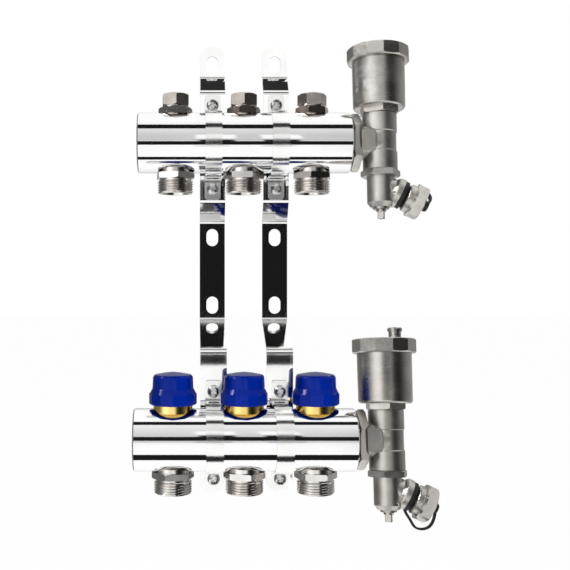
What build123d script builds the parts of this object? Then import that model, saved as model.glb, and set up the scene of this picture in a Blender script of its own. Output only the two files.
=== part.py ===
"""Wall-mounted heating manifold: two three-circuit headers on a pair of folded brackets.

X runs along the headers, Y into the wall and Z up, in millimetres. The wall is the plane
Y = 0, and the origin is the middle of the four wall slots.
"""

import os
from math import cos, radians, sin, sqrt

from build123d import *

# Clearances: between screwed or seated pieces, and between pieces that turn or slide
seat_gap = 0.05
running_gap = 0.08

# Headers and their circuits
circuits = 3
pitch = 50.0
header_radius = 22.0
header_length = 155.0
header_bore = 14.0
header_spacing = 212.5
upper_height = 93.5
lower_height = upper_height - header_spacing
upper_reach = 36.0
lower_reach = 66.0
upper_shift = -1.7
lower_shift = -3.0
header_thread = 15.15
header_thread_depth = 16.0
port_radius = 10.2

# Heights above a header's axis: its flat seats, and where the screwed pieces end in its bore
balancing_seat = header_radius - 1.4
insert_seat = header_radius - 2.5
outlet_seat = header_radius - 3.0
valve_seat = header_bore - 2.0
inner_end = header_bore - 4.0

# Balancing valves, thermostatic inserts and outlets
balancing_foot = balancing_seat + 6.2
cap_thread = 7.9
spindle_guide = 4.0
insert_ring = header_radius + 2.6
insert_thread = 13.95
spring_floor = inner_end + 2.5
stem_guide = 2.5
stem_top = insert_ring + 16.4
stem_travel = 3.0
spring_collar = insert_ring + 3.0
washer_thickness = 2.0
washer_face = stem_travel + seat_gap - valve_seat
outlet_collar = 12.0
outlet_end = header_radius + 15.2
outlet_thread = 13.2

# Brackets and clamps
bracket_width = 19.2
bracket_spacing = 48.0
sheet = 2.0
bend_radius = 4.0
slot_width = 9.0
slot_length = 13.2
slot_rows = 52.0
plate_end = slot_rows / 2 + 11.8
tab_top = upper_height + 79.9
tab_round = 10.7
strap_width = 12.0
strap_sheet = 1.5
strap_bend = 2.2
screw_offset = 31.5
ear_reach = 39.5
screw_radius = 2.5
screw_play = 0.25
header_rest = 0.2

# End pieces
end_turn = 21.2
upper_lean = 6.0
lower_lean = 8.0
tee_radius = 12.5
tee_half = 21.0
gasket_thickness = 1.0
branch_port = 9.9
shank_end = tee_half - 10.0

# Air vents, measured up from a tee's middle
neck_top = tee_half + 4.2
cup_radius = 18.9
cup_top = 60.4
lid_face = cup_top + 10.0
nozzle_offset = 8.0
nozzle_radius = 2.6
lever_pivot = 13.0
pivot_pin = 0.8
pivot_height = cup_top - 1.0

# Drain valves: measured down from a tee's middle, then out along the hose outlet
drain_angle = 26.0
drain_branch = tee_half + 10.3
barrel_end = tee_half + 23.6
drain_seat = tee_half + 7.4
drain_guide = 3.6
hose_thread = 10.45
hose_neck = 7.8
hose_end = 29.0
ring_start = 15.4
ring_width = 3.0

stations = [(index - (circuits - 1) / 2) * pitch for index in range(circuits)]


def half_section(base, *points):
    """Closed outline of (radius, height) points in a half plane through the axis of base."""
    plane = Plane(base.origin, x_dir=base.x_dir, z_dir=-base.y_dir)
    with BuildSketch(plane) as outline:
        with BuildLine():
            Polyline(*points, close=True)
        make_face()
    return outline.sketch


def axis_of(base):
    return Axis(base.origin, base.z_dir)


def hexagon(base, height, across_flats, turn=0.0, sides=6):
    """Regular outline across the axis of base, at a height along it."""
    with BuildSketch(base.offset(height)) as outline:
        RegularPolygon(across_flats / 2, sides, major_radius=False, rotation=turn)
    return outline.sketch


def disc(base, height, radius, hole=0.0):
    with BuildSketch(base.offset(height)) as outline:
        Circle(radius)
        if hole:
            Circle(hole, mode=Mode.SUBTRACT)
    return outline.sketch


def header_frame(shift, reach, height):
    """Frame at the middle of a header, its axis along X and its second direction up."""
    return Plane(origin=(shift, -reach, height), x_dir=(0, 1, 0), z_dir=(1, 0, 0))


def station_frame(shift, reach, height, station, up=1):
    return Plane(origin=(shift + station, -reach, height), x_dir=(1, 0, 0), z_dir=(0, 0, up))


def header(frame, top_seat, top_seat_radius):
    """Bored round bar with tapped ends, and a spot-faced port above and below each circuit."""
    half = header_length / 2
    edge = 0.9
    lead = 1.3
    mouth = header_thread + lead
    bottom_seat_radius = outlet_collar + 0.4
    above = Plane(frame.origin, x_dir=(1, 0, 0), z_dir=(0, 0, 1))
    with BuildPart() as bar:
        ends = [
            (header_bore, -half + header_thread_depth + 1),
            (header_thread, -half + header_thread_depth),
            (header_thread, -half + lead),
            (mouth, -half),
            (header_radius - edge, -half),
            (header_radius, -half + edge),
        ]
        mirrored = [(radius, -height) for radius, height in reversed(ends)]
        revolve(half_section(frame, *ends, *mirrored), axis=axis_of(frame))
        with BuildSketch(above):
            with GridLocations(pitch, pitch, circuits, 1):
                Circle(port_radius)
        extrude(amount=header_radius + 1, both=True, mode=Mode.SUBTRACT)
        with BuildSketch(above.offset(top_seat)):
            with GridLocations(pitch, pitch, circuits, 1):
                Circle(top_seat_radius)
        extrude(amount=header_radius, mode=Mode.SUBTRACT)
        with BuildSketch(above.offset(-outlet_seat)):
            with GridLocations(pitch, pitch, circuits, 1):
                Circle(bottom_seat_radius)
        extrude(amount=-header_radius, mode=Mode.SUBTRACT)
    return bar.part


def outlet(down, turn):
    """Screwed-in circuit outlet with an inner seat, a hexagon collar and a coned male end."""
    shank = port_radius - seat_gap
    bore = shank - 1.95
    flats = 26.0
    corner = flats / sqrt(3)
    root = outlet_thread - 1.7
    start = header_radius + seat_gap
    end = header_radius + 4.5
    with BuildPart() as nipple:
        extrude(hexagon(down, start, flats, turn), amount=end - start)
        revolve(
            half_section(
                down,
                (0, start),
                (corner - 0.6, start),
                (corner, start + 0.6),
                (corner, end - 0.6),
                (corner - 1.0, end),
                (0, end),
            ),
            axis=axis_of(down),
            mode=Mode.INTERSECT,
        )
        revolve(
            half_section(
                down,
                (0, valve_seat),
                (bore + 0.2, valve_seat),
                (bore + 0.7, valve_seat + 2.3),
                (shank, valve_seat + 2.3),
                (shank, outlet_seat),
                (outlet_collar, outlet_seat),
                (outlet_collar, start + 1.0),
                (root, start + 1.0),
                (root, end + 1.4),
                (outlet_thread - 0.7, end + 1.4),
                (outlet_thread, end + 2.1),
                (outlet_thread, outlet_end - 1.0),
                (outlet_thread - 1.0, outlet_end),
                (0, outlet_end),
            ),
            axis=axis_of(down),
        )
        revolve(
            half_section(
                down,
                (0, valve_seat - 1),
                (bore - 1.2, valve_seat - 1),
                (bore - 1.2, valve_seat + 3),
                (bore, valve_seat + 4),
                (bore, outlet_end - 7),
                (bore + 2.0, outlet_end + 1),
                (0, outlet_end + 1),
            ),
            axis=axis_of(down),
            mode=Mode.SUBTRACT,
        )
    return nipple.part


def balancing_body(up):
    """Screwed-in guide of a balancing valve, with a hexagon foot and a thread for its cap."""
    flats = 22.0
    corner = flats / sqrt(3)
    shank = port_radius - seat_gap
    foot = balancing_foot
    top = foot + 5.9
    with BuildPart() as body:
        extrude(hexagon(up, balancing_seat, flats, 12), amount=foot - balancing_seat)
        revolve(
            half_section(
                up,
                (0, balancing_seat),
                (corner, balancing_seat),
                (corner, foot - 2.4),
                (corner - 0.5, foot - 1.8),
                (cap_thread + 1.5, foot - 0.4),
                (cap_thread + 1.5, foot),
                (0, foot),
            ),
            axis=axis_of(up),
            mode=Mode.INTERSECT,
        )
        revolve(
            half_section(
                up,
                (0, inner_end),
                (shank - 2.6, inner_end),
                (shank, inner_end + 2.5),
                (shank, balancing_seat),
                (0, balancing_seat),
            ),
            axis=axis_of(up),
        )
        revolve(
            half_section(
                up,
                (0, foot),
                (cap_thread, foot),
                (cap_thread, top - 0.6),
                (cap_thread - 0.7, top),
                (0, top),
            ),
            axis=axis_of(up),
        )
        revolve(
            half_section(
                up,
                (0, inner_end - 1),
                (spindle_guide, inner_end - 1),
                (spindle_guide, top - 2.6),
                (spindle_guide + 1.0, top + 0.4),
                (0, top + 0.4),
            ),
            axis=axis_of(up),
            mode=Mode.SUBTRACT,
        )
    return body.part


def balancing_spindle(up):
    """Throttling spindle, turned with a key in its top socket, its plug over the seat below."""
    shaft = spindle_guide - running_gap
    plug = 2.5 - valve_seat
    top = balancing_foot + 2.8
    with BuildPart() as spindle:
        revolve(
            half_section(
                up,
                (0, plug),
                (5.6, plug),
                (8.2, plug + 2.5),
                (8.2, plug + 5.0),
                (shaft, plug + 7.0),
                (shaft, top - 0.5),
                (shaft - 0.5, top),
                (0, top),
            ),
            axis=axis_of(up),
        )
        extrude(hexagon(up, top - 4.5, 4.0), amount=6, mode=Mode.SUBTRACT)
    return spindle.part


def lockshield_cap(up, turn):
    """Hexagon screw cap over a balancing spindle."""
    flats = 18.6
    corner = flats / sqrt(3)
    start = balancing_foot + seat_gap
    shoulder = start + 8.35
    top = start + 9.75
    with BuildPart() as cap:
        extrude(hexagon(up, start, flats, turn), amount=top - start)
        revolve(
            half_section(
                up,
                (0, start),
                (corner - 1.2, start),
                (corner, start + 0.8),
                (corner, shoulder - 0.8),
                (corner - 1.9, shoulder + 0.4),
                (5.5, top - 0.15),
                (0, top),
            ),
            axis=axis_of(up),
            mode=Mode.INTERSECT,
        )
        extrude(disc(up, start, cap_thread + seat_gap), amount=6.2, mode=Mode.SUBTRACT)
    return cap.part


def insert_body(up):
    """Brass thermostatic insert: threaded shank, plain ring, cap thread and stem guide."""
    shank = port_radius - seat_gap
    ring = insert_thread - 0.3
    groove = insert_thread - 2.45
    thread_end = insert_ring + 8.6
    top = insert_ring + 12.6
    with BuildPart() as body:
        revolve(
            half_section(
                up,
                (0, inner_end),
                (shank - 2.6, inner_end),
                (shank, spring_floor),
                (shank, insert_seat),
                (ring, insert_seat),
                (ring, insert_ring),
                (groove, insert_ring + 0.6),
                (groove, insert_ring + 1.4),
                (insert_thread - 0.8, insert_ring + 1.4),
                (insert_thread, insert_ring + 2.2),
                (insert_thread, thread_end - 0.8),
                (insert_thread - 0.8, thread_end),
                (6.5, thread_end),
                (6.5, top - 0.8),
                (5.6, top),
                (0, top),
            ),
            axis=axis_of(up),
        )
        extrude(disc(up, inner_end - 1, stem_guide), amount=top, mode=Mode.SUBTRACT)
        chamber = insert_ring + 5.9
        extrude(disc(up, spring_floor, 5.4), amount=chamber - spring_floor, mode=Mode.SUBTRACT)
    return body.part


def valve_stem(up):
    """Sliding stem with a spring collar in the insert and a washer holder over the seat."""
    rod = stem_guide - running_gap
    holder = washer_face + washer_thickness
    collar = spring_collar
    with BuildPart() as stem:
        revolve(
            half_section(
                up,
                (0, holder),
                (7.4, holder),
                (7.8, holder + 0.4),
                (7.8, holder + 2.0),
                (rod, holder + 3.0),
                (rod, collar),
                (4.6, collar),
                (4.6, collar + 1.8),
                (rod, collar + 1.8),
                (rod, stem_top - 0.4),
                (rod - 0.5, stem_top),
                (0, stem_top),
            ),
            axis=axis_of(up),
        )
    return stem.part


def valve_washer(up):
    """Rubber washer carried under the stem's holder."""
    with BuildPart() as washer:
        extrude(disc(up, washer_face, 8.2), amount=washer_thickness)
        fillet(washer.edges().filter_by(GeomType.CIRCLE).group_by(Axis.Z)[0], 0.5)
    return washer.part


def insert_spring(up):
    """Return spring in its pressed length, standing on the floor of the insert's chamber."""
    wire = 0.35
    mean = 3.85
    turns = 6
    rise = spring_collar - stem_travel - spring_floor - 0.4 - 2 * wire
    coil = Helix(
        pitch=rise / turns,
        height=rise,
        radius=mean,
        center=up.offset(spring_floor + wire + seat_gap).origin,
    )
    with BuildPart() as spring:
        with BuildSketch(Plane(coil @ 0, z_dir=coil % 0)):
            Circle(wire)
        sweep(path=coil, is_frenet=True)
    return spring.part


def hand_cap(up, turn):
    """Blue hand wheel with a twelve-sided band, screwed over the insert."""
    rim = insert_ring + 0.3
    band = rim + 8.1
    crown = rim + 22.9
    hold = insert_thread + running_gap
    press = stem_top + 0.2
    with BuildPart() as cap:
        extrude(hexagon(up, rim, 32.4, turn, sides=12), amount=band - rim)
        revolve(
            half_section(
                up,
                (0, rim),
                (15.6, rim),
                (16.7, rim + 0.9),
                (16.7, band - 0.4),
                (16.2, band),
                (0, band),
            ),
            axis=axis_of(up),
            mode=Mode.INTERSECT,
        )
        revolve(
            half_section(
                up,
                (0, band),
                (16.1, band),
                (14.4, band + 3.4),
                (14.0, crown - 3.6),
                (12.8, crown - 2.0),
                (6.0, crown - 0.7),
                (0, crown),
            ),
            axis=axis_of(up),
        )
        shoulder = cap.edges().filter_by(GeomType.CIRCLE).filter_by(lambda e: 12.5 < e.radius < 14.2)
        fillet(shoulder, 1.1)
        revolve(
            half_section(
                up,
                (0, rim - 1),
                (hold + 0.57, rim - 1),
                (hold, rim + 0.6),
                (hold, rim + 9.1),
                (12.2, rim + 10.1),
                (11.8, crown - 3.6),
                (4.2, crown - 2.6),
                (4.2, press),
                (0, press),
            ),
            axis=axis_of(up),
            mode=Mode.SUBTRACT,
        )
    return cap.part


def bracket_faces():
    """Distance of the front faces of the upper and lower lands in front of the wall."""
    clearance = header_radius + header_rest
    return upper_reach - clearance, lower_reach - clearance


def bracket(x):
    """Folded strip: screw tab, upper land, wall plate with slots, long ramp and lower land."""
    upper_land, lower_land = bracket_faces()
    middle = sheet / 2
    lower_end = lower_height - screw_offset - 10.5
    nut_room = lower_height + screw_offset + 4.6
    lower_fold = -plate_end - 0.44 * (-plate_end - nut_room)
    with BuildPart() as strip:
        with BuildSketch(Plane.YZ.offset(x - bracket_width / 2)):
            with BuildLine() as path:
                FilletPolyline(
                    (-middle, tab_top),
                    (-middle, tab_top - 25.2),
                    (middle - upper_land, upper_height + screw_offset + 10.2),
                    (middle - upper_land, upper_height - screw_offset - 9.0),
                    (-middle, plate_end),
                    (-middle, -plate_end),
                    (middle - lower_land, lower_fold),
                    (middle - lower_land, lower_end),
                    radius=bend_radius,
                )
                offset(amount=middle, side=Side.BOTH)
            make_face()
        extrude(amount=bracket_width)
        for tip, inward in ((tab_top, -1), (lower_end, 1)):
            with BuildSketch(Plane.XZ):
                with Locations((x, tip + inward * 30)):
                    Rectangle(bracket_width + 2, 64)
                with Locations((x, tip + inward * tab_round)):
                    Circle(tab_round, mode=Mode.SUBTRACT)
                with Locations((x, tip + inward * (tab_round + 30))):
                    Rectangle(bracket_width + 2, 60, mode=Mode.SUBTRACT)
            extrude(amount=60, both=True, mode=Mode.SUBTRACT)
        with BuildSketch(Plane.XZ):
            with Locations((x, -slot_rows / 2), (x, slot_rows / 2), (x, tab_top - 14.6)):
                SlotOverall(slot_length, slot_width, rotation=90)
        extrude(amount=sheet + 1, both=True, mode=Mode.SUBTRACT)
        with BuildSketch(Plane.XZ):
            for height in (upper_height, lower_height):
                with Locations((x, height - screw_offset), (x, height + screw_offset)):
                    Circle(screw_radius + screw_play)
        extrude(amount=60, mode=Mode.SUBTRACT)
    return strip.part


def clamp(x, reach, height, land):
    """Strap bent round the front of a header, with an ear above and below on the bracket."""
    inner = header_radius + header_rest
    middle = inner + strap_sheet / 2
    ear = -land - strap_sheet / 2
    with BuildPart() as strap:
        with BuildSketch(Plane.YZ.offset(x - strap_width / 2)):
            with BuildLine():
                top = FilletPolyline(
                    (ear, height + ear_reach),
                    (ear, height + middle),
                    (-reach, height + middle),
                    radius=strap_bend,
                )
                ThreePointArc(top @ 1, (-reach - middle, height), (-reach, height - middle))
                FilletPolyline(
                    (-reach, height - middle),
                    (ear, height - middle),
                    (ear, height - ear_reach),
                    radius=strap_bend,
                )
                offset(amount=strap_sheet / 2, side=Side.BOTH)
            make_face()
        extrude(amount=strap_width)
        for side in (-1, 1):
            with BuildSketch(Plane.XZ):
                with Locations((x, height + side * ear_reach)):
                    Rectangle(strap_width + 2, 4)
                with Locations((x, height + side * (ear_reach - 8))):
                    RectangleRounded(strap_width, 16, 2.2, mode=Mode.SUBTRACT)
            extrude(amount=100, both=True, mode=Mode.SUBTRACT)
            with BuildSketch(Plane.XZ):
                with Locations((x, height + side * screw_offset)):
                    Circle(screw_radius + screw_play)
            extrude(amount=60, mode=Mode.SUBTRACT)
    return strap.part


def screw_frame(x, height, land):
    """Frame under a clamp screw's head, facing the room."""
    return Plane(origin=(x, -land - strap_sheet, height), x_dir=(1, 0, 0), z_dir=(0, -1, 0))


def clamp_screw(front, turn):
    """Pan-head screw with a cross recess."""
    tip = -strap_sheet - sheet - 4.8
    with BuildPart() as screw:
        revolve(
            half_section(
                front,
                (0, tip),
                (screw_radius - 0.5, tip),
                (screw_radius, tip + 0.6),
                (screw_radius, 0),
                (4.5, 0),
                (4.5, 1.6),
                (3.6, 2.8),
                (2.0, 3.4),
                (0, 3.5),
            ),
            axis=axis_of(front),
        )
        for quarter in (0, 90):
            with BuildSketch(front.offset(1.4)):
                Rectangle(4.4, 1.1, rotation=turn + quarter)
            extrude(amount=4, taper=-8, mode=Mode.SUBTRACT)
    return screw.part


def clamp_nut(front):
    with BuildPart() as nut:
        start = -strap_sheet - sheet - 4.0
        extrude(hexagon(front, start, 8.0), amount=4.0)
        extrude(disc(front, start, screw_radius + seat_gap), amount=4.0, mode=Mode.SUBTRACT)
    return nut.part


def end_frames(shift, reach, height, lean):
    """Frames of an end piece: along its branch from the header's end, and up its own axis."""
    end = shift + header_length / 2 + gasket_thickness
    upward = (0, sin(radians(lean)), cos(radians(lean)))
    branch = Plane(origin=(end, -reach, height), x_dir=upward, z_dir=(1, 0, 0))
    up = Plane(origin=(end + end_turn, -reach, height), x_dir=(1, 0, 0), z_dir=upward)
    return branch, up


def tee_gasket(branch):
    with BuildPart() as ring:
        extrude(disc(branch, -gasket_thickness, 19.0, hole=15.4), amount=gasket_thickness)
    return ring.part


def tee(branch, up):
    """Turned tee: hexagon flange and male thread to the header, a port above and below."""
    flats = 37.0
    corner = flats / sqrt(3)
    flange = 5.8
    face = 9.8
    with BuildPart() as body:
        extrude(hexagon(branch, 0, flats, 8), amount=flange)
        revolve(
            half_section(
                branch,
                (0, 0),
                (corner - 1.6, 0),
                (corner, 1.0),
                (corner, flange - 1.0),
                (corner - 1.6, flange),
                (0, flange),
            ),
            axis=axis_of(branch),
            mode=Mode.INTERSECT,
        )
        thread = header_thread - seat_gap
        revolve(
            half_section(branch, (0, -14), (thread - 0.8, -14), (thread, -13), (thread, 0), (0, 0)),
            axis=axis_of(branch),
        )
        extrude(disc(branch, flange, tee_radius), amount=end_turn - flange)
        waist = tee_radius - 0.6
        waist_half = 7.5
        revolve(
            half_section(
                up,
                (0, -tee_half),
                (tee_radius - 0.5, -tee_half),
                (tee_radius, -tee_half + 0.5),
                (tee_radius, -waist_half),
                (waist, -waist_half + 0.6),
                (waist, waist_half - 0.6),
                (tee_radius, waist_half),
                (tee_radius, tee_half - 0.5),
                (tee_radius - 0.5, tee_half),
                (0, tee_half),
            ),
            axis=axis_of(up),
        )
        sideways = Plane(branch.origin, x_dir=branch.z_dir, z_dir=branch.y_dir)
        for side in (-1, 1):
            with BuildSketch(sideways.offset(side * face)):
                with Locations((11.2, 0)):
                    RectangleRounded(9.6, 17.0, 3.0)
            extrude(amount=side * 10, taper=-20, mode=Mode.SUBTRACT)
        extrude(disc(branch, -15, 9.5), amount=15 + end_turn, mode=Mode.SUBTRACT)
        extrude(disc(up, -tee_half - 1, branch_port), amount=2 * tee_half + 2, mode=Mode.SUBTRACT)
    return body.part


def vent_body(up, turn):
    """Cup of the automatic air vent on a hexagon neck and a threaded shank."""
    shank = branch_port - seat_gap
    flats = 25.0
    corner = flats / sqrt(3)
    floor = neck_top + 2.6
    inside = cup_radius - 1.9
    with BuildPart() as cup:
        extrude(hexagon(up, tee_half, flats, turn), amount=neck_top - tee_half)
        revolve(
            half_section(
                up,
                (0, tee_half),
                (corner - 1.2, tee_half),
                (corner, tee_half + 0.8),
                (corner, neck_top),
                (0, neck_top),
            ),
            axis=axis_of(up),
            mode=Mode.INTERSECT,
        )
        revolve(
            half_section(
                up,
                (0, shank_end),
                (shank - 0.8, shank_end),
                (shank, shank_end + 1),
                (shank, neck_top),
                (cup_radius, neck_top),
                (cup_radius + 0.3, cup_top),
                (0, cup_top),
            ),
            axis=axis_of(up),
        )
        rim = cup.edges().filter_by(GeomType.CIRCLE).filter_by(lambda e: abs(e.radius - cup_radius) < 0.01)
        fillet(rim, 2.2)
        revolve(
            half_section(
                up,
                (0, shank_end - 1),
                (6.5, shank_end - 1),
                (6.5, floor),
                (inside - 1.5, floor + 1.2),
                (inside, floor + 3.2),
                (inside, cup_top + 1),
                (0, cup_top + 1),
            ),
            axis=axis_of(up),
            mode=Mode.SUBTRACT,
        )
    return cup.part


def vent_point(up, bearing, radius, height):
    """Point above an end piece's axis, at a bearing around it."""
    return up.from_local_coords((radius * cos(radians(bearing)), radius * sin(radians(bearing)), height))


def vent_side(up, bearing):
    """Frame on the vent's axis whose first direction is the bearing of its bleed nozzle."""
    first = up.from_local_coords((cos(radians(bearing)), sin(radians(bearing)), 0)) - up.origin
    return Plane(up.origin, x_dir=first, z_dir=up.z_dir)


def vent_lid(up, bearing, turn):
    """Twelve-sided lid screwed over the cup, with a bleed nozzle and the lever's two lugs."""
    side = vent_side(up, bearing)
    flats = 46.0 * cos(radians(15))
    nozzle = Plane(vent_point(up, bearing, nozzle_offset, 0), x_dir=side.x_dir, z_dir=up.z_dir)
    cross = Plane(side.origin, x_dir=side.x_dir, z_dir=-side.y_dir)
    start = cup_top + seat_gap
    spigot = cup_top - 4.9
    inside = cup_radius - 1.9 - seat_gap
    ceiling = lid_face - 3.9
    with BuildPart() as lid:
        extrude(hexagon(up, start, flats, turn, sides=12), amount=lid_face - start)
        revolve(
            half_section(
                up,
                (0, start),
                (21.4, start),
                (23.2, start + 1.2),
                (23.2, lid_face - 1.0),
                (21.6, lid_face),
                (0, lid_face),
            ),
            axis=axis_of(up),
            mode=Mode.INTERSECT,
        )
        extrude(disc(up, spigot, inside), amount=start - spigot)
        revolve(
            half_section(
                up,
                (0, spigot - 1),
                (inside - 1.6, spigot - 1),
                (inside - 1.6, ceiling - 2.0),
                (inside - 3.5, ceiling),
                (0, ceiling),
            ),
            axis=axis_of(up),
            mode=Mode.SUBTRACT,
        )
        extrude(disc(nozzle, pivot_height + 2.6, 2.8), amount=ceiling - pivot_height - 2.5)
        extrude(disc(nozzle, lid_face, nozzle_radius), amount=3.4)
        with BuildSketch(cross):
            with Locations((lever_pivot, pivot_height + 3.2)):
                Rectangle(3.6, 9.4)
        extrude(amount=4.0, both=True)
        with BuildSketch(cross):
            with Locations((lever_pivot, pivot_height + 2.0)):
                Rectangle(5.6, 9.0)
        extrude(amount=2.4, both=True, mode=Mode.SUBTRACT)
        with BuildSketch(cross):
            with Locations((lever_pivot, pivot_height)):
                Circle(pivot_pin + running_gap)
        extrude(amount=6.0, both=True, mode=Mode.SUBTRACT)
        extrude(disc(nozzle, pivot_height, 0.8), amount=lid_face, mode=Mode.SUBTRACT)
    return lid.part


def vent_lever(up, bearing):
    """Lever on a pivot pin, with a sealing pad under the nozzle and an eye for the float's hook."""
    side = vent_side(up, bearing)
    cross = Plane(side.origin, x_dir=side.x_dir, z_dir=-side.y_dir)
    flat = side.offset(pivot_height - 0.6)
    pad = Plane(vent_point(up, bearing, nozzle_offset, 0), x_dir=side.x_dir, z_dir=up.z_dir)
    with BuildPart() as lever:
        with BuildSketch(flat):
            with Locations((lever_pivot / 2 - 1.5, 0)):
                Rectangle(lever_pivot + 3.0, 4.2)
        extrude(amount=1.2)
        with BuildSketch(cross):
            with Locations((lever_pivot, pivot_height)):
                Circle(pivot_pin)
        extrude(amount=3.9, both=True)
        extrude(disc(pad, pivot_height + 0.6, 1.9), amount=1.9)
        with BuildSketch(flat):
            SlotOverall(4.6, 3.0)
        extrude(amount=1.2, mode=Mode.SUBTRACT)
    return lever.part


def vent_float(up):
    """Hollow float with a headed hook that hangs in the lever's eye."""
    hook = 0.9
    head = pivot_height + 1.5
    bottom = neck_top + 10.0
    top = pivot_height - 6.8
    wall = 1.2
    outside = cup_radius - 4.3
    with BuildPart() as ball:
        revolve(
            half_section(
                up,
                (0, bottom),
                (outside - 1.6, bottom),
                (outside, bottom + 1.6),
                (outside, top - 1.6),
                (outside - 1.6, top),
                (3.0, top),
                (hook, top + 1.4),
                (hook, head),
                (2.4, head),
                (2.4, head + 1.0),
                (0, head + 1.0),
            ),
            axis=axis_of(up),
        )
        revolve(
            half_section(
                up,
                (0, bottom + wall),
                (outside - 2.0, bottom + wall),
                (outside - wall, bottom + 2.0),
                (outside - wall, top - 2.0),
                (outside - 2.0, top - wall),
                (0, top - wall),
            ),
            axis=axis_of(up),
            mode=Mode.SUBTRACT,
        )
    return ball.part


def bleed_cap(up, bearing):
    """Mushroom screw cap over the bleed nozzle, with a hole in its side."""
    nozzle = Plane(vent_point(up, bearing, nozzle_offset, 0), x_dir=up.x_dir, z_dir=up.z_dir)
    start = lid_face + 0.3
    inside = nozzle_radius + running_gap
    with BuildPart() as cap:
        revolve(
            half_section(
                nozzle,
                (inside, start),
                (4.4, start),
                (4.4, lid_face + 5.6),
                (5.2, lid_face + 5.8),
                (5.3, lid_face + 7.6),
                (4.6, lid_face + 8.4),
                (0, lid_face + 8.6),
                (0, lid_face + 5.6),
                (inside, lid_face + 5.0),
            ),
            axis=axis_of(nozzle),
        )
        hole = nozzle.offset(lid_face + 2.8).origin
        with BuildSketch(Plane(hole, x_dir=nozzle.x_dir, z_dir=-nozzle.y_dir)):
            Circle(1.0)
        extrude(amount=6, mode=Mode.SUBTRACT)
    return cap.part


def drain_frames(up, swing):
    """Frames of a drain valve: down its body, and out along its side outlet."""
    down = Plane(up.origin, x_dir=up.x_dir, z_dir=-up.z_dir)
    slope = radians(drain_angle)
    start = up.from_local_coords((0, 0, -drain_branch))
    ahead = up.from_local_coords((cos(slope), 0, -sin(slope))) - up.origin
    across = up.from_local_coords((-sin(slope), 0, -cos(slope))) - up.origin
    beside = ahead.cross(across)
    loop = across * cos(radians(swing)) + beside * sin(radians(swing))
    return down, Plane(start, x_dir=loop, z_dir=ahead)


def drain_body(down, out, turn):
    """Drain valve body: shank, hexagon, barrel and a hose outlet pointing down to the side."""
    shank = branch_port - seat_gap
    flats = 25.0
    hex_end = tee_half + 4.4
    corner = flats / sqrt(3)
    with BuildPart() as body:
        extrude(hexagon(down, tee_half, flats, turn), amount=hex_end - tee_half)
        revolve(
            half_section(
                down,
                (0, tee_half),
                (corner - 1.0, tee_half),
                (corner, tee_half + 0.7),
                (corner, hex_end - 0.7),
                (corner - 1.0, hex_end),
                (0, hex_end),
            ),
            axis=axis_of(down),
            mode=Mode.INTERSECT,
        )
        revolve(
            half_section(
                down,
                (0, shank_end + 1),
                (shank - 0.8, shank_end + 1),
                (shank, shank_end + 2),
                (shank, tee_half),
                (branch_port, tee_half),
                (branch_port, barrel_end),
                (7.4, barrel_end + 3.2),
                (6.0, barrel_end + 3.2),
                (5.6, barrel_end + 4.8),
                (0, barrel_end + 4.8),
            ),
            axis=axis_of(down),
        )
        revolve(
            half_section(
                out,
                (0, 0),
                (8.6, 0),
                (8.6, 9.0),
                (10.6, 11.2),
                (10.9, 12.0),
                (10.9, ring_start - 0.1),
                (hose_neck, ring_start - 0.1),
                (hose_neck, ring_start + ring_width + 0.2),
                (hose_thread - 0.8, ring_start + 4.8),
                (hose_thread, ring_start + 5.6),
                (hose_thread, hose_end - 0.8),
                (hose_thread - 0.8, hose_end),
                (0, hose_end),
            ),
            axis=axis_of(out),
        )
        revolve(
            half_section(
                down,
                (0, shank_end),
                (6.8, shank_end),
                (6.8, drain_seat - 2.4),
                (4.6, drain_seat - 1.4),
                (4.6, drain_seat),
                (6.8, drain_seat),
                (6.8, barrel_end - 1.0),
                (drain_guide, barrel_end - 1.0),
                (drain_guide, barrel_end + 6),
                (0, barrel_end + 6),
            ),
            axis=axis_of(down),
            mode=Mode.SUBTRACT,
        )
        extrude(disc(out, 2, 4.6), amount=hose_end, mode=Mode.SUBTRACT)
    return body.part


def drain_spindle(down):
    """Valve spindle with a sealing plug above and a square end below for the key."""
    shaft = drain_guide - running_gap
    plug = drain_seat + 0.3
    shoulder = barrel_end + 6.4
    with BuildPart() as spindle:
        revolve(
            half_section(
                down,
                (0, plug),
                (5.0, plug),
                (5.6, plug + 0.6),
                (5.6, plug + 3.3),
                (shaft, plug + 4.1),
                (shaft, barrel_end - 2.4),
                (5.4, barrel_end - 2.4),
                (5.4, barrel_end - 1.2),
                (shaft, barrel_end - 1.2),
                (shaft, shoulder),
                (0, shoulder),
            ),
            axis=axis_of(down),
        )
        with BuildSketch(down.offset(shoulder)):
            RectangleRounded(4.7, 4.7, 0.5, rotation=20)
        extrude(amount=5.2)
        with BuildSketch(down.offset(shoulder + 4.4)):
            Rectangle(7.6, 1.0, rotation=65)
        extrude(amount=1, mode=Mode.SUBTRACT)
    return spindle.part


def outlet_cap(out, turn):
    """Screw cap of the drain outlet: round lip, hexagon and a hole for the retaining button."""
    flats = 22.4
    corner = flats / sqrt(3)
    lip = hose_end - 4.2
    end = hose_end + 4.4
    with BuildPart() as cap:
        extrude(hexagon(out, lip, flats, turn), amount=end - lip)
        revolve(
            half_section(out, (0, lip), (corner, lip), (corner, end - 1.0), (corner - 1.4, end), (0, end)),
            axis=axis_of(out),
            mode=Mode.INTERSECT,
        )
        extrude(disc(out, lip, 12.7), amount=1.4)
        extrude(disc(out, lip, hose_thread + running_gap), amount=end - 2.2 - lip, mode=Mode.SUBTRACT)
        extrude(disc(out, end - 3, 2.1), amount=4, mode=Mode.SUBTRACT)
    return cap.part


def cap_washer(out):
    with BuildPart() as washer:
        extrude(disc(out, hose_end + 0.1, hose_thread - 0.55, hole=5.0), amount=1.8)
    return washer.part


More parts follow.
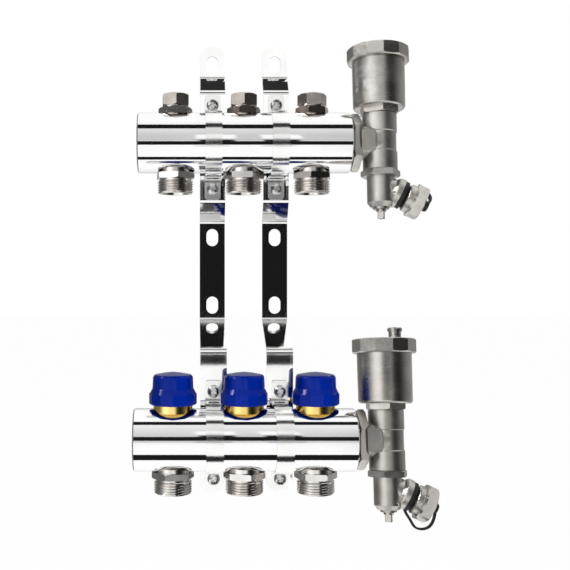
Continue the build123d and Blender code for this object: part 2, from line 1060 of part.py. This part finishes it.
def cap_retainer():
    """Soft retainer in one moulding: ring for the outlet's groove, strap and snap button.

    It is drawn with the outlet's axis up from the origin, and takes its place afterwards.
    """
    out = Plane.XY
    across = Plane(out.origin, x_dir=out.z_dir, z_dir=out.y_dir)
    middle = ring_start + ring_width / 2
    button = hose_end + 0.4
    with BuildPart() as retainer:
        extrude(disc(out, ring_start, 10.4, hole=hose_neck + seat_gap), amount=ring_width)
        with BuildLine(across) as path:
            Spline(
                (middle, 9.6),
                (middle + 7.1, 14.9),
                (middle + 11.7, 17.6),
                (button + 4.2, 16.6),
                (button + 8.0, 12.6),
                (button + 8.6, 7.0),
                (button + 7.4, 1.0),
                tangents=((0.6, 0.8), (-0.2, -1.0)),
            )
        strap = path.line
        with BuildSketch(Plane(strap @ 0, x_dir=across.z_dir, z_dir=strap % 0)):
            Rectangle(3.0, 1.5)
        sweep(path=strap)
        revolve(
            half_section(
                out,
                (0, button),
                (2.2, button),
                (3.0, button + 0.8),
                (3.0, button + 1.6),
                (2.0, button + 1.7),
                (2.0, button + 4.2),
                (4.0, button + 4.2),
                (4.2, button + 4.8),
                (4.0, button + 7.4),
                (3.2, button + 8.2),
                (0, button + 8.2),
            ),
            axis=axis_of(out),
        )
    return retainer.part


def save(piece, label):
    piece.label = label
    export_step(piece, f"parts/{label}.step")


def save_group(pieces, label):
    """Writes identical loose pieces as one node of separate solids."""
    save(Compound(children=pieces), label)


def save_upper_circuits():
    cap_turns = (34, 30, 2)
    outlet_turns = (22, 8, 40)
    for index, station in enumerate(stations):
        number = index + 1
        up = station_frame(upper_shift, upper_reach, upper_height, station)
        down = station_frame(upper_shift, upper_reach, upper_height, station, up=-1)
        save(outlet(down, outlet_turns[index]), f"upper_outlet_{number}")
        save(balancing_body(up), f"balancing_body_{number}")
        save(balancing_spindle(up), f"balancing_spindle_{number}")
        save(lockshield_cap(up, cap_turns[index]), f"lockshield_cap_{number}")


def save_lower_circuits():
    outlet_turns = (50, 15, 5)
    springs = []
    for index, station in enumerate(stations):
        number = index + 1
        up = station_frame(lower_shift, lower_reach, lower_height, station)
        down = station_frame(lower_shift, lower_reach, lower_height, station, up=-1)
        save(outlet(down, outlet_turns[index]), f"lower_outlet_{number}")
        save(insert_body(up), f"insert_body_{number}")
        save(valve_stem(up), f"valve_stem_{number}")
        save(valve_washer(up), f"valve_washer_{number}")
        save(hand_cap(up, 6 * index), f"hand_cap_{number}")
        springs.append(insert_spring(up))
    save_group(springs, "insert_springs")


def save_mounting():
    upper_land, lower_land = bracket_faces()
    screws = []
    nuts = []
    rows = (
        ("upper", upper_reach, upper_height, upper_land),
        ("lower", lower_reach, lower_height, lower_land),
    )
    for name, side in (("left", -1), ("right", 1)):
        x = side * bracket_spacing / 2
        save(bracket(x), f"{name}_bracket")
        for row, reach, height, land in rows:
            save(clamp(x, reach, height, land), f"{row}_{name}_clamp")
            for offset_up in (-screw_offset, screw_offset):
                front = screw_frame(x, height + offset_up, land)
                screws.append(clamp_screw(front, 17 * len(screws)))
                nuts.append(clamp_nut(front))
    save_group(screws, "clamp_screws")
    save_group(nuts, "clamp_nuts")


def save_end_pieces():
    ends = (
        ("upper", upper_shift, upper_reach, upper_height, upper_lean, 90, 29, 3, 140),
        ("lower", lower_shift, lower_reach, lower_height, lower_lean, 0, 4, -10, 0),
    )
    gaskets = []
    washers = []
    for row, shift, reach, height, lean, bearing, lid_turn, drain_turn, swing in ends:
        branch, up = end_frames(shift, reach, height, lean)
        down, out = drain_frames(up, swing)
        gaskets.append(tee_gasket(branch))
        washers.append(cap_washer(out))
        save(tee(branch, up), f"{row}_tee")
        save(vent_body(up, 30), f"{row}_vent_body")
        save(vent_lid(up, bearing, lid_turn), f"{row}_vent_lid")
        save(vent_lever(up, bearing), f"{row}_vent_lever")
        save(vent_float(up), f"{row}_vent_float")
        save(bleed_cap(up, bearing), f"{row}_bleed_cap")
        save(drain_body(down, out, drain_turn), f"{row}_drain_body")
        save(drain_spindle(down), f"{row}_drain_spindle")
        save(outlet_cap(out, 12), f"{row}_outlet_cap")
        save(cap_retainer().moved(out.location), f"{row}_cap_retainer")
    save_group(gaskets, "tee_gaskets")
    save_group(washers, "cap_washers")


os.makedirs("parts", exist_ok=True)
upper_frame = header_frame(upper_shift, upper_reach, upper_height)
lower_frame = header_frame(lower_shift, lower_reach, lower_height)
save(header(upper_frame, balancing_seat, 13.4), "upper_header")
save(header(lower_frame, insert_seat, insert_thread + 0.25), "lower_header")
save_upper_circuits()
save_lower_circuits()
save_mounting()
save_end_pieces()
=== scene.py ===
import math

import bmesh
import bpy
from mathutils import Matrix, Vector


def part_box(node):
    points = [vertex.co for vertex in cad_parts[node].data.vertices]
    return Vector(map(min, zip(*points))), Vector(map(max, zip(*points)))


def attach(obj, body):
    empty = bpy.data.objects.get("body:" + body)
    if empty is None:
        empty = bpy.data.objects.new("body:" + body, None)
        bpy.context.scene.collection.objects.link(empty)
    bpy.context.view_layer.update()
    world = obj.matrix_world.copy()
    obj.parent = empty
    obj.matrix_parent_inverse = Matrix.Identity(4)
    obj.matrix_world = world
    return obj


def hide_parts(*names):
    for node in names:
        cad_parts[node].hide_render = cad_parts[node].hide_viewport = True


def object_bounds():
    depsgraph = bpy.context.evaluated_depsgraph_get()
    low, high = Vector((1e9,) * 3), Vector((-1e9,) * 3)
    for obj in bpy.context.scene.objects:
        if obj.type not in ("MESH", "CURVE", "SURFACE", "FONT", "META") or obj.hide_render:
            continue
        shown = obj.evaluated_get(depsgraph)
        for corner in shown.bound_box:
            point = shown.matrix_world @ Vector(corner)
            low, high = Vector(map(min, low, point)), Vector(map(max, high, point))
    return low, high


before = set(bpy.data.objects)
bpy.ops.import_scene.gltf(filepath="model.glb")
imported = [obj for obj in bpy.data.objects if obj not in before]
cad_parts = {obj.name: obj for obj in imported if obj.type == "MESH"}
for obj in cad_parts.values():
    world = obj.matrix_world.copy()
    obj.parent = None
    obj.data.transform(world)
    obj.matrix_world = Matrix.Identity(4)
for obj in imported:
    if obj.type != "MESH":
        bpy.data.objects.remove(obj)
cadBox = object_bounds()
print("frame loaded,", len(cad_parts), "nodes")

millimetre = 0.001
fullTurn = 2.0 * math.pi
lengthwise = Vector((1.0, 0.0, 0.0))  # along the headers
outFromWall = Vector((0.0, -1.0, 0.0))
upright = Vector((0.0, 0.0, 1.0))


def spot(x, y, z):
    return Vector((x, y, z)) * millimetre


def middle(node):
    low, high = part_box(node)
    return (low + high) / 2


class socketMaths:  # one shader output, so that shader maths reads as Python
    def __init__(self, tree, socket):
        self.tree = tree
        self.socket = socket

    def feed(self, socket, value):
        if isinstance(value, socketMaths):
            self.tree.links.new(value.socket, socket)
        else:
            socket.default_value = value

    def maths(self, operation, first, second=None):
        node = self.tree.nodes.new("ShaderNodeMath")
        node.operation = operation
        self.feed(node.inputs[0], first)
        if second is not None:
            self.feed(node.inputs[1], second)
        return socketMaths(self.tree, node.outputs[0])

    def __add__(self, other):
        return self.maths("ADD", self, other)

    def __radd__(self, other):
        return self.maths("ADD", other, self)

    def __sub__(self, other):
        return self.maths("SUBTRACT", self, other)

    def __rsub__(self, other):
        return self.maths("SUBTRACT", other, self)

    def __mul__(self, other):
        return self.maths("MULTIPLY", self, other)

    def __rmul__(self, other):
        return self.maths("MULTIPLY", other, self)

    def __truediv__(self, other):
        return self.maths("DIVIDE", self, other)

    def __rtruediv__(self, other):
        return self.maths("DIVIDE", other, self)

    def size(self):
        return self.maths("ABSOLUTE", self)

    def above(self, limit):
        return self.maths("GREATER_THAN", self, limit)

    def angleTo(self, other):
        return self.maths("ARCTAN2", self, other)


class shaderBench:  # adds nodes to one material's or world's tree
    def __init__(self, owner):
        owner.use_nodes = True
        self.tree = owner.node_tree
        self.tree.nodes.clear()

    def make(self, kind, settings=None, values=None, output=0):
        node = self.tree.nodes.new(kind)
        for name, setting in (settings or {}).items():
            if name == "stops":
                ramp = node.color_ramp
                while len(ramp.elements) < len(setting):
                    ramp.elements.new(0.5)
                for element, (position, colour) in zip(ramp.elements, setting):
                    element.position = position
                    element.color = colour
            else:
                setattr(node, name, setting)
        for name, value in (values or {}).items():
            socketMaths(self.tree, None).feed(node.inputs[name], value)
        return socketMaths(self.tree, node.outputs[output] if node.outputs else None)

    def finish(self, kind, values):
        shader = self.make(kind, values=values)
        target = "ShaderNodeOutputWorld" if kind == "ShaderNodeBackground" else "ShaderNodeOutputMaterial"
        self.make(target, values={"Surface": shader})


def grey(level):
    return (level, level, level, 1.0)


def objectPlace(bench):
    return bench.make("ShaderNodeTexCoord", output=3)


def along(bench, place, axis):
    values = {0: place, 1: tuple(axis)}
    return bench.make("ShaderNodeVectorMath", {"operation": "DOT_PRODUCT"}, values, output=1)


def noise(bench, place, scale, detail=3.0, roughness=0.5):
    values = {"Vector": place, "Scale": scale, "Detail": detail, "Roughness": roughness}
    return bench.make("ShaderNodeTexNoise", values=values)


def spread(bench, value, low, high, start=0.0, end=1.0):
    values = {"Value": value, "From Min": start, "From Max": end, "To Min": low, "To Max": high}
    return bench.make("ShaderNodeMapRange", values=values)


def bump(bench, height, strength, distance=0.0001):
    values = {"Height": height, "Strength": strength, "Distance": distance}
    return bench.make("ShaderNodeBump", values=values)


def blendColour(bench, factor, first, second):
    values = {0: factor, 6: first, 7: second}  # the sockets of the colour mix
    return bench.make("ShaderNodeMix", {"data_type": "RGBA"}, values, output=2)


metalPattern = {"cloudShare": 0.6, "lineShare": 0.4, "darkest": 0.35, "lightest": 0.65}


def turnedMetal(name, look, axis):
    # metal turned or ground round an axis, with fine tool lines across it
    material = bpy.data.materials.new(name)
    bench = shaderBench(material)
    place = objectPlace(bench)
    height = along(bench, place, axis)
    values = {"W": height, "Scale": look["lineScale"], "Detail": 4.0}
    lines = bench.make("ShaderNodeTexNoise", {"noise_dimensions": "1D"}, values)
    cloud = noise(bench, place, look["cloudScale"])
    grain = noise(bench, place, look["grainScale"], detail=2.0)
    mask = spread(bench, cloud, 0.0, 1.0, metalPattern["darkest"], metalPattern["lightest"])
    colour = blendColour(bench, mask, look["dark"], look["colour"])
    wear = cloud * metalPattern["cloudShare"] + lines * metalPattern["lineShare"]
    rough = spread(bench, wear, look["roughness"] - look["vary"], look["roughness"] + look["vary"])
    relief = lines * look["lineDepth"] + grain * look["grainDepth"]
    bench.finish("ShaderNodeBsdfPrincipled", {
        "Base Color": colour,
        "Metallic": 1.0,
        "Roughness": rough,
        "Normal": bump(bench, relief, look["bump"]),
    })
    return material


chromeLook = {
    "colour": (0.86, 0.86, 0.87, 1.0), "dark": (0.82, 0.82, 0.83, 1.0), "roughness": 0.05, "vary": 0.015,
    "lineScale": 900.0, "lineDepth": 0.3, "grainScale": 400.0, "grainDepth": 0.3,
    "cloudScale": 30.0, "bump": 0.02,
}
sheetLook = {
    "colour": (0.88, 0.88, 0.87, 1.0), "dark": (0.82, 0.82, 0.81, 1.0), "roughness": 0.035, "vary": 0.012,
    "lineScale": 2500.0, "lineDepth": 0.7, "grainScale": 700.0, "grainDepth": 0.4,
    "cloudScale": 60.0, "bump": 0.04,
}
clampLook = dict(sheetLook, roughness=0.15, vary=0.04)
nickelLook = {
    "colour": (0.74, 0.71, 0.68, 1.0), "dark": (0.62, 0.60, 0.57, 1.0), "roughness": 0.13, "vary": 0.04,
    "lineScale": 5000.0, "lineDepth": 0.6, "grainScale": 900.0, "grainDepth": 0.5,
    "cloudScale": 90.0, "bump": 0.12,
}
darkNickelLook = dict(
    nickelLook, colour=(0.5, 0.46, 0.43, 1.0), dark=(0.4, 0.36, 0.33, 1.0), roughness=0.2, vary=0.05,
)
satinLook = {
    "colour": (0.60, 0.575, 0.54, 1.0), "dark": (0.46, 0.44, 0.41, 1.0), "roughness": 0.27, "vary": 0.06,
    "lineScale": 6000.0, "lineDepth": 0.8, "grainScale": 1400.0, "grainDepth": 0.8,
    "cloudScale": 70.0, "bump": 0.25,
}
castLook = dict(satinLook, roughness=0.36)
brassLook = {
    "colour": (0.95, 0.72, 0.27, 1.0), "dark": (0.84, 0.58, 0.18, 1.0), "roughness": 0.15, "vary": 0.04,
    "lineScale": 6000.0, "lineDepth": 0.9, "grainScale": 900.0, "grainDepth": 0.3,
    "cloudScale": 120.0, "bump": 0.15,
}
steelLook = {
    "colour": (0.66, 0.66, 0.66, 1.0), "dark": (0.5, 0.5, 0.5, 1.0), "roughness": 0.2, "vary": 0.06,
    "lineScale": 3000.0, "lineDepth": 0.5, "grainScale": 1500.0, "grainDepth": 0.6,
    "cloudScale": 200.0, "bump": 0.15,
}


plasticPattern = {"darkest": 0.3, "lightest": 0.7, "coatRoughness": 0.12}


def mouldedPlastic(name, look):
    material = bpy.data.materials.new(name)
    bench = shaderBench(material)
    place = objectPlace(bench)
    cloud = noise(bench, place, look["cloudScale"])
    grain = noise(bench, place, look["grainScale"], detail=4.0, roughness=0.7)
    mask = spread(bench, cloud, 0.0, 1.0, plasticPattern["darkest"], plasticPattern["lightest"])
    colour = blendColour(bench, mask, look["dark"], look["colour"])
    rough = spread(bench, grain, look["roughness"] - look["vary"], look["roughness"] + look["vary"])
    bench.finish("ShaderNodeBsdfPrincipled", {
        "Base Color": colour,
        "Roughness": rough,
        "Specular IOR Level": look["shine"],
        "Coat Weight": look["coat"],
        "Coat Roughness": plasticPattern["coatRoughness"],
        "Normal": bump(bench, grain, look["bump"]),
    })
    return material


bluePlastic = {
    "colour": (0.0, 0.022, 0.34, 1.0), "dark": (0.0, 0.016, 0.26, 1.0), "roughness": 0.17, "vary": 0.04,
    "cloudScale": 60.0, "grainScale": 2600.0, "bump": 0.05, "coat": 0.0, "shine": 0.12,
}
blackRubber = {
    "colour": (0.014, 0.014, 0.014, 1.0), "dark": (0.007, 0.007, 0.007, 1.0), "roughness": 0.48, "vary": 0.08,
    "cloudScale": 150.0, "grainScale": 3000.0, "bump": 0.25, "coat": 0.0, "shine": 0.3,
}
whitePlastic = {
    "colour": (0.8, 0.8, 0.76, 1.0), "dark": (0.7, 0.7, 0.66, 1.0), "roughness": 0.42, "vary": 0.06,
    "cloudScale": 90.0, "grainScale": 2000.0, "bump": 0.1, "coat": 0.1, "shine": 0.5,
}


endPieces = {"upperLean": 6.0, "lowerLean": 8.0, "drainAngle": 26.0}  # degrees


def leanAxis(row):
    lean = math.radians(endPieces[row + "Lean"])
    return Vector((0.0, math.sin(lean), math.cos(lean)))


def outletAxis(row):
    slope = math.radians(endPieces["drainAngle"])
    return lengthwise * math.cos(slope) - leanAxis(row) * math.sin(slope)


def nodeObject(node):
    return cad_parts[node]


def dress(node, material):
    slots = nodeObject(node).data.materials
    slots.clear()
    slots.append(material)


def dressNodes():
    chrome = turnedMetal("headerChrome", chromeLook, lengthwise)
    brightSheet = turnedMetal("bracketSheet", sheetLook, lengthwise)
    strap = turnedMetal("clampStrap", clampLook, lengthwise)
    nickel = turnedMetal("fittingNickel", nickelLook, upright)
    darkNickel = turnedMetal("valveNickel", darkNickelLook, upright)
    brass = turnedMetal("insertBrass", brassLook, upright)
    steel = turnedMetal("screwSteel", steelLook, -outFromWall)
    blue = mouldedPlastic("capBlue", bluePlastic)
    black = mouldedPlastic("retainerRubber", blackRubber)
    white = mouldedPlastic("floatPlastic", whitePlastic)
    for row in ("upper", "lower"):
        dress(row + "_header", chrome)
        for side in ("left", "right"):
            dress(f"{row}_{side}_clamp", strap)
        satin = turnedMetal(row + "SatinNickel", satinLook, leanAxis(row))
        capSatin = turnedMetal(row + "CapNickel", satinLook, outletAxis(row))
        cast = turnedMetal(row + "CastNickel", castLook, leanAxis(row))
        for piece in ("vent_body", "vent_lid", "bleed_cap", "drain_spindle"):
            dress(f"{row}_{piece}", satin)
        for piece in ("tee", "drain_body"):
            dress(f"{row}_{piece}", cast)
        dress(row + "_outlet_cap", capSatin)
        dress(row + "_cap_retainer", black)
        dress(row + "_vent_lever", steel)
        dress(row + "_vent_float", white)
        for number in (1, 2, 3):
            dress(f"{row}_outlet_{number}", nickel)
    for side in ("left", "right"):
        dress(side + "_bracket", brightSheet)
    for number in (1, 2, 3):
        dress(f"balancing_body_{number}", darkNickel)
        dress(f"balancing_spindle_{number}", brass)
        dress(f"lockshield_cap_{number}", darkNickel)
        dress(f"insert_body_{number}", brass)
        dress(f"valve_stem_{number}", steel)
        dress(f"valve_washer_{number}", black)
        dress(f"hand_cap_{number}", blue)
    for node in ("clamp_screws", "clamp_nuts", "insert_springs"):
        dress(node, steel)
    for node in ("tee_gaskets", "cap_washers"):
        dress(node, black)
    print("materials given to every node")


# places and sizes in millimetres
studio = {
    "cameraPlace": (-40.4, -722.0, -10.5),
    "lens": 59.1,
    "sensor": 36.0,
    "shift": (0.165, 0.0),
    "seesTo": 50.0,  # metres
    "floorDrop": 60.0,
    "floorReach": 6000.0,
    "floorPaint": 0.9,
    "floorGlow": 1.03,
    "floorGlowShare": 0.95,  # the rest is paint, which keeps the object's shadow
    "ambient": 0.17,
    "key": {"place": (100.0, -1100.0, 120.0), "size": 420.0, "power": 7.0},
    "fill": {"place": (900.0, -700.0, 200.0), "size": 900.0, "power": 1.5},
    # how far a direction leans before the pattern by bearing takes over, and how steep before it gives way
    "sideways": (0.1, 0.4),
    "steep": (0.8, 0.45),
    # degrees from the front over the top, and the level that metal sees there
    "byHeight": [
        (-180, 0.5), (-150, 0.95), (-122, 1.15), (-100, 1.18), (-25, 1.18), (-5, 1.12), (3, 0.68),
        (20, 0.7), (40, 0.85), (60, 1.0), (82, 1.18), (140, 1.15), (160, 0.7), (180, 0.5),
    ],
    # degrees round from the front, to the left below nought, and the level that metal sees there
    "byBearing": [
        (-180, 0.3), (-110, 0.17), (-84, 0.24), (-70, 0.6), (-56, 1.35), (-42, 1.6), (-28, 1.35), (-12, 1.0),
        (2, 0.68), (14, 0.3), (26, 0.05), (48, 0.01), (64, 0.06), (80, 0.2), (100, 0.34), (150, 0.5),
        (180, 0.4),
    ],
    # a small bright window, up and to the left in front
    "glint": {"towards": (-0.72, -0.12, 0.68), "radius": 8.0, "level": 40.0},
    # cards: left and right side, depth and height of their two long edges, and their level
    "cards": {
        "front": (-150.0, 200.0, -636.0, -62.0, -636.0, 80.0, 0.012),
        "above": (-150.0, 200.0, -335.0, 410.0, -200.0, 426.0, 0.012),
        "below": (-150.0, 200.0, -275.0, -321.0, -205.0, -450.0, 0.012),
        "leftLand": (-30.0, 18.0, -636.0, 80.0, -636.0, 138.0, 0.012),
        "rightLand": (56.0, 104.0, -636.0, 80.0, -636.0, 138.0, 0.012),
        "leftFoot": (-36.0, 12.0, -636.0, -119.0, -636.0, -104.0, 0.012),
        "rightFoot": (56.0, 104.0, -636.0, -119.0, -636.0, -104.0, 0.012),
        "leftTab": (-34.0, 20.0, -636.0, 180.0, -636.0, 345.0, 1.15),
        "rightTab": (54.0, 108.0, -636.0, 180.0, -636.0, 345.0, 1.15),
        # two small dark sheets just over the tab folds: painted shade, seen only in the folds' reflections
        "leftTabFoldShade": (-33.0, -13.0, -9.0, 178.0, -1.0, 178.0, 0.03),
        "rightTabFoldShade": (17.0, 38.0, -9.0, 178.0, -1.0, 178.0, 0.03),
    },
}


def levelRamp(bench, angle, levels):
    stops = [(degrees / 360.0 + 0.5, grey(level)) for degrees, level in levels]
    return bench.make("ShaderNodeValToRGB", {"stops": stops}, {"Fac": angle / fullTurn + 0.5})


def makeWorld():
    world = bpy.data.worlds.new("studioWorld")
    bpy.context.scene.world = world
    bench = shaderBench(world)
    direction = bench.make("ShaderNodeTexCoord")
    sideways = along(bench, direction, lengthwise)
    forward = along(bench, direction, outFromWall)
    upward = along(bench, direction, upright)
    heightLevel = levelRamp(bench, upward.angleTo(forward), studio["byHeight"])
    bearingLevel = levelRamp(bench, sideways.angleTo(forward), studio["byBearing"])
    outward = bench.make("ShaderNodeMapRange", {"interpolation_type": "SMOOTHSTEP"}, {
        "Value": sideways.size(), "From Min": studio["sideways"][0], "From Max": studio["sideways"][1]})
    flatness = bench.make("ShaderNodeMapRange", {"interpolation_type": "SMOOTHSTEP"}, {
        "Value": upward.size(), "From Min": studio["steep"][0], "From Max": studio["steep"][1]})
    glint = studio["glint"]
    nearGlint = along(bench, direction, Vector(glint["towards"]).normalized())
    spark = nearGlint.above(math.cos(math.radians(glint["radius"])))
    mixed = blendColour(bench, outward * flatness, heightLevel, bearingLevel)
    seen = blendColour(bench, spark, mixed, grey(glint["level"]))
    glossy = bench.make("ShaderNodeLightPath", output="Is Glossy Ray")
    camera = bench.make("ShaderNodeLightPath", output="Is Camera Ray")
    lit = blendColour(bench, glossy, grey(studio["ambient"]), seen)
    shown = blendColour(bench, camera, lit, grey(1.0))
    bench.finish("ShaderNodeBackground", {"Color": shown, "Strength": 1.0})


def flatPiece(name, corners, material):
    mesh = bpy.data.meshes.new(name)
    build = bmesh.new()
    build.faces.new([build.verts.new(spot(*corner)) for corner in corners])
    build.to_mesh(mesh)
    build.free()
    piece = bpy.data.objects.new(name, mesh)
    bpy.context.scene.collection.objects.link(piece)
    mesh.materials.append(material)
    return piece


def makeFloor():
    material = bpy.data.materials.new("paleFloor")
    bench = shaderBench(material)
    camera = bench.make("ShaderNodeLightPath", output="Is Camera Ray")
    paint = bench.make("ShaderNodeBsdfDiffuse", values={"Color": grey(studio["floorPaint"])})
    glow = bench.make("ShaderNodeEmission", values={"Color": grey(1.0), "Strength": studio["floorGlow"]})
    values = {0: camera * studio["floorGlowShare"], 1: paint, 2: glow}
    mixed = bench.make("ShaderNodeMixShader", values=values)
    bench.make("ShaderNodeOutputMaterial", values={"Surface": mixed})
    low = cadBox[0][2] / millimetre - studio["floorDrop"]
    reach = studio["floorReach"]
    corners = [(-reach, -reach, low), (reach, -reach, low), (reach, reach, low), (-reach, reach, low)]
    floor = flatPiece("floor", corners, material)
    floor.visible_glossy = False


def makeCards():
    # paper that only mirrors see
    for name, (left, right, nearDepth, low, farDepth, high, level) in studio["cards"].items():
        material = bpy.data.materials.new(name + "Paper")
        bench = shaderBench(material)
        bench.finish("ShaderNodeEmission", {"Color": grey(1.0), "Strength": level})
        corners = [
            (left, nearDepth, low), (right, nearDepth, low), (right, farDepth, high), (left, farDepth, high),
        ]
        piece = flatPiece(name + "Card", corners, material)
        piece.visible_camera = False
        piece.visible_diffuse = False
        piece.visible_shadow = False


def makeLamp(name, lamp):
    data = bpy.data.lights.new(name, "AREA")
    data.size = lamp["size"] * millimetre
    data.energy = lamp["power"]
    light = bpy.data.objects.new(name, data)
    bpy.context.scene.collection.objects.link(light)
    light.location = spot(*lamp["place"])
    light.rotation_euler = (-light.location).to_track_quat("-Z", "Y").to_euler()
    light.visible_glossy = False
    return light


def makeCamera():
    data = bpy.data.cameras.new("camera")
    data.lens = studio["lens"]
    data.sensor_width = studio["sensor"]
    data.shift_x, data.shift_y = studio["shift"]
    data.clip_end = studio["seesTo"]
    camera = bpy.data.objects.new("camera", data)
    bpy.context.scene.collection.objects.link(camera)
    camera.location = spot(*studio["cameraPlace"])
    camera.rotation_euler = (math.radians(90.0), 0.0, 0.0)
    bpy.context.scene.camera = camera


# millimetres, and degrees for the flank and the crease
threads = {
    "outlet": {"radius": 13.2, "pitch": 1.814, "depth": 1.16, "turns": 6.0, "start": -1.2},
    "mouth": {"radius": 15.15, "pitch": 2.309, "depth": -1.45, "turns": 6.2, "start": -1.6},
    "crest": 0.12,  # the crest's flat, as a share of the pitch
    "flank": 27.5,
    "clear": 0.1,
    "stepsPerTurn": 40,
    "weld": 0.001,
    "crease": 28.0,
    "sameFacing": 0.999,  # how closely a cut face still faces as the CAD face did
    "keyDigits": 3,
}


def threadCutter(name, thread, base, axis, across):
    # a helical groove, from just off the crests down to the roots; a depth below nought cuts outwards
    sign = math.copysign(1.0, thread["depth"])
    half = thread["pitch"] * (1.0 - threads["crest"]) / 2.0
    slope = math.tan(math.radians(threads["flank"]))
    outer = thread["radius"] + sign * threads["clear"]
    root = thread["radius"] - thread["depth"]
    wide = half + threads["clear"] * slope
    narrow = half - abs(thread["depth"]) * slope
    build = bmesh.new()
    corners = [(outer, -wide), (root, -narrow), (root, narrow), (outer, wide)]
    loop = [
        build.verts.new(base + (across * radius + axis * (height + thread["start"])) * millimetre)
        for radius, height in corners
    ]
    face = build.faces.new(loop)
    steps = round(thread["turns"] * threads["stepsPerTurn"])
    step = axis * thread["pitch"] / threads["stepsPerTurn"] * millimetre
    bmesh.ops.spin(
        build, geom=[face] + face.edges[:] + loop, cent=base, axis=axis, dvec=step,
        angle=fullTurn * thread["turns"], steps=steps,
    )
    bmesh.ops.recalc_face_normals(build, faces=build.faces[:])
    mesh = bpy.data.meshes.new(name)
    build.to_mesh(mesh)
    build.free()
    cutter = bpy.data.objects.new(name, mesh)
    bpy.context.scene.collection.objects.link(cutter)
    return cutter


def placeKey(point):
    return tuple(round(value / millimetre, threads["keyDigits"]) for value in point)


def keepNormals(mesh, source):
    # corners that the cut left alone keep the shading of the CAD node
    known = {}
    for face in source.polygons:
        for corner in face.loop_indices:
            place = placeKey(source.vertices[source.loops[corner].vertex_index].co)
            shading = source.corner_normals[corner].vector.copy()
            known.setdefault(place, []).append((face.normal.copy(), shading))
    normals = [corner.vector.copy() for corner in mesh.corner_normals]
    for face in mesh.polygons:
        for corner in face.loop_indices:
            near = known.get(placeKey(mesh.vertices[mesh.loops[corner].vertex_index].co), [])
            closest = max(near, key=lambda pair: pair[0].dot(face.normal), default=None)
            if closest and closest[0].dot(face.normal) > threads["sameFacing"]:
                normals[corner] = closest[1]
    mesh.normals_split_custom_set(normals)


def cutThread(node, name, thread, base, axis, across):
    # a threaded copy stands for the plain CAD node
    build = bmesh.new()
    build.from_mesh(nodeObject(node).data)
    bmesh.ops.remove_doubles(build, verts=build.verts[:], dist=threads["weld"] * millimetre)
    welded = bpy.data.meshes.new(name)
    build.to_mesh(welded)
    build.free()
    for material in nodeObject(node).data.materials:
        welded.materials.append(material)
    piece = bpy.data.objects.new(name, welded)
    bpy.context.scene.collection.objects.link(piece)
    cutter = threadCutter(name + "Cutter", thread, base, axis, across)
    cut = piece.modifiers.new("thread", "BOOLEAN")
    cut.operation = "DIFFERENCE"
    cut.solver = "EXACT"
    cut.object = cutter
    shaped = piece.evaluated_get(bpy.context.evaluated_depsgraph_get())
    mesh = bpy.data.meshes.new_from_object(shaped)
    piece.modifiers.clear()
    piece.data = mesh
    bpy.data.objects.remove(cutter)
    mesh.shade_smooth()
    mesh.set_sharp_from_angle(angle=math.radians(threads["crease"]))
    keepNormals(mesh, nodeObject(node).data)
    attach(piece, "manifold")
    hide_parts(node)
    return piece


def cutThreads():
    for row in ("upper", "lower"):
        for number in (1, 2, 3):
            node = f"{row}_outlet_{number}"
            centre = middle(node)
            base = Vector((centre.x, centre.y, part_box(node)[0].z))
            name = f"{row}ThreadedOutlet{number}"
            cutThread(node, name, threads["outlet"], base, upright, lengthwise)
        node = row + "_header"
        low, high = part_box(node)
        base = Vector((low.x, (low.y + high.y) / 2, (low.z + high.z) / 2))
        cutThread(node, row + "ThreadedHeader", threads["mouth"], base, lengthwise, upright)
    print("threads cut")


dressNodes()
cutThreads()
makeWorld()
makeFloor()
makeCards()
makeLamp("keyLamp", studio["key"])
makeLamp("fillLamp", studio["fill"])
makeCamera()
bpy.context.scene.view_settings.view_transform = "Standard"
print("studio and camera made")
